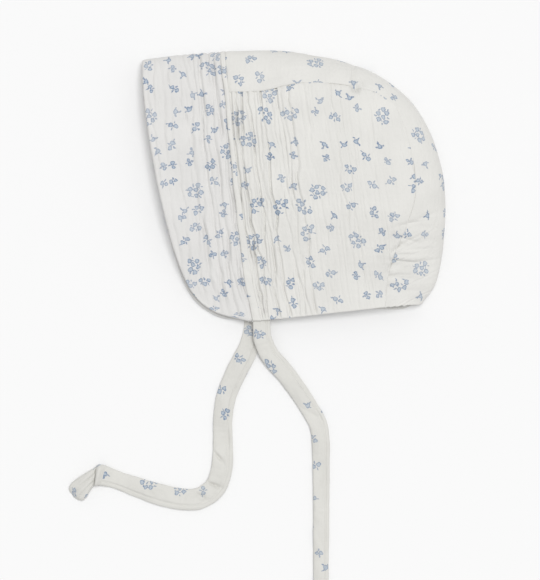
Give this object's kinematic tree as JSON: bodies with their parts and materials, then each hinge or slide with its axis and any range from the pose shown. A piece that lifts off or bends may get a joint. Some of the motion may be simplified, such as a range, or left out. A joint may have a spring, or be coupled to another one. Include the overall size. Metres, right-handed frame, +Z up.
{
  "type": "baby bonnet",
  "caption": "Baby bonnet in crinkled cotton gauze with a wide double brim, a crown band, side panels and knotted cloth ties, lying on its side.",
  "frame": {"origin": "middle of the body's plan box, ties left out, on the surface that the bonnet lies on", "axes": "+X from the face opening to the back of the head, +Y from the neck to the top of the head, +Z up from the surface, towards the near side panel"},
  "size_m": [0.227, 0.3461, 0.0272],
  "materials": {
    "brim_gauze": "soft matt cotton gauze folded double, off-white with a small blue sprig print, low crinkles",
    "body_gauze": "soft matt crinkled double cotton gauze, off-white with a small blue sprig print",
    "tie_gauze": "soft matt cotton gauze sewn into a flat tube, off-white with a small blue sprig print"
  },
  "bodies": {
    "root": {"brim": "brim_gauze", "brim_welt": "brim_gauze", "crown_band": "body_gauze", "side_panel_near": "body_gauze", "side_panel_far": "body_gauze", "tie_near": "tie_gauze", "tie_far": "tie_gauze", "tie_near_knot": "tie_gauze", "tie_far_knot": "tie_gauze"}
  },
  "joints": []
}
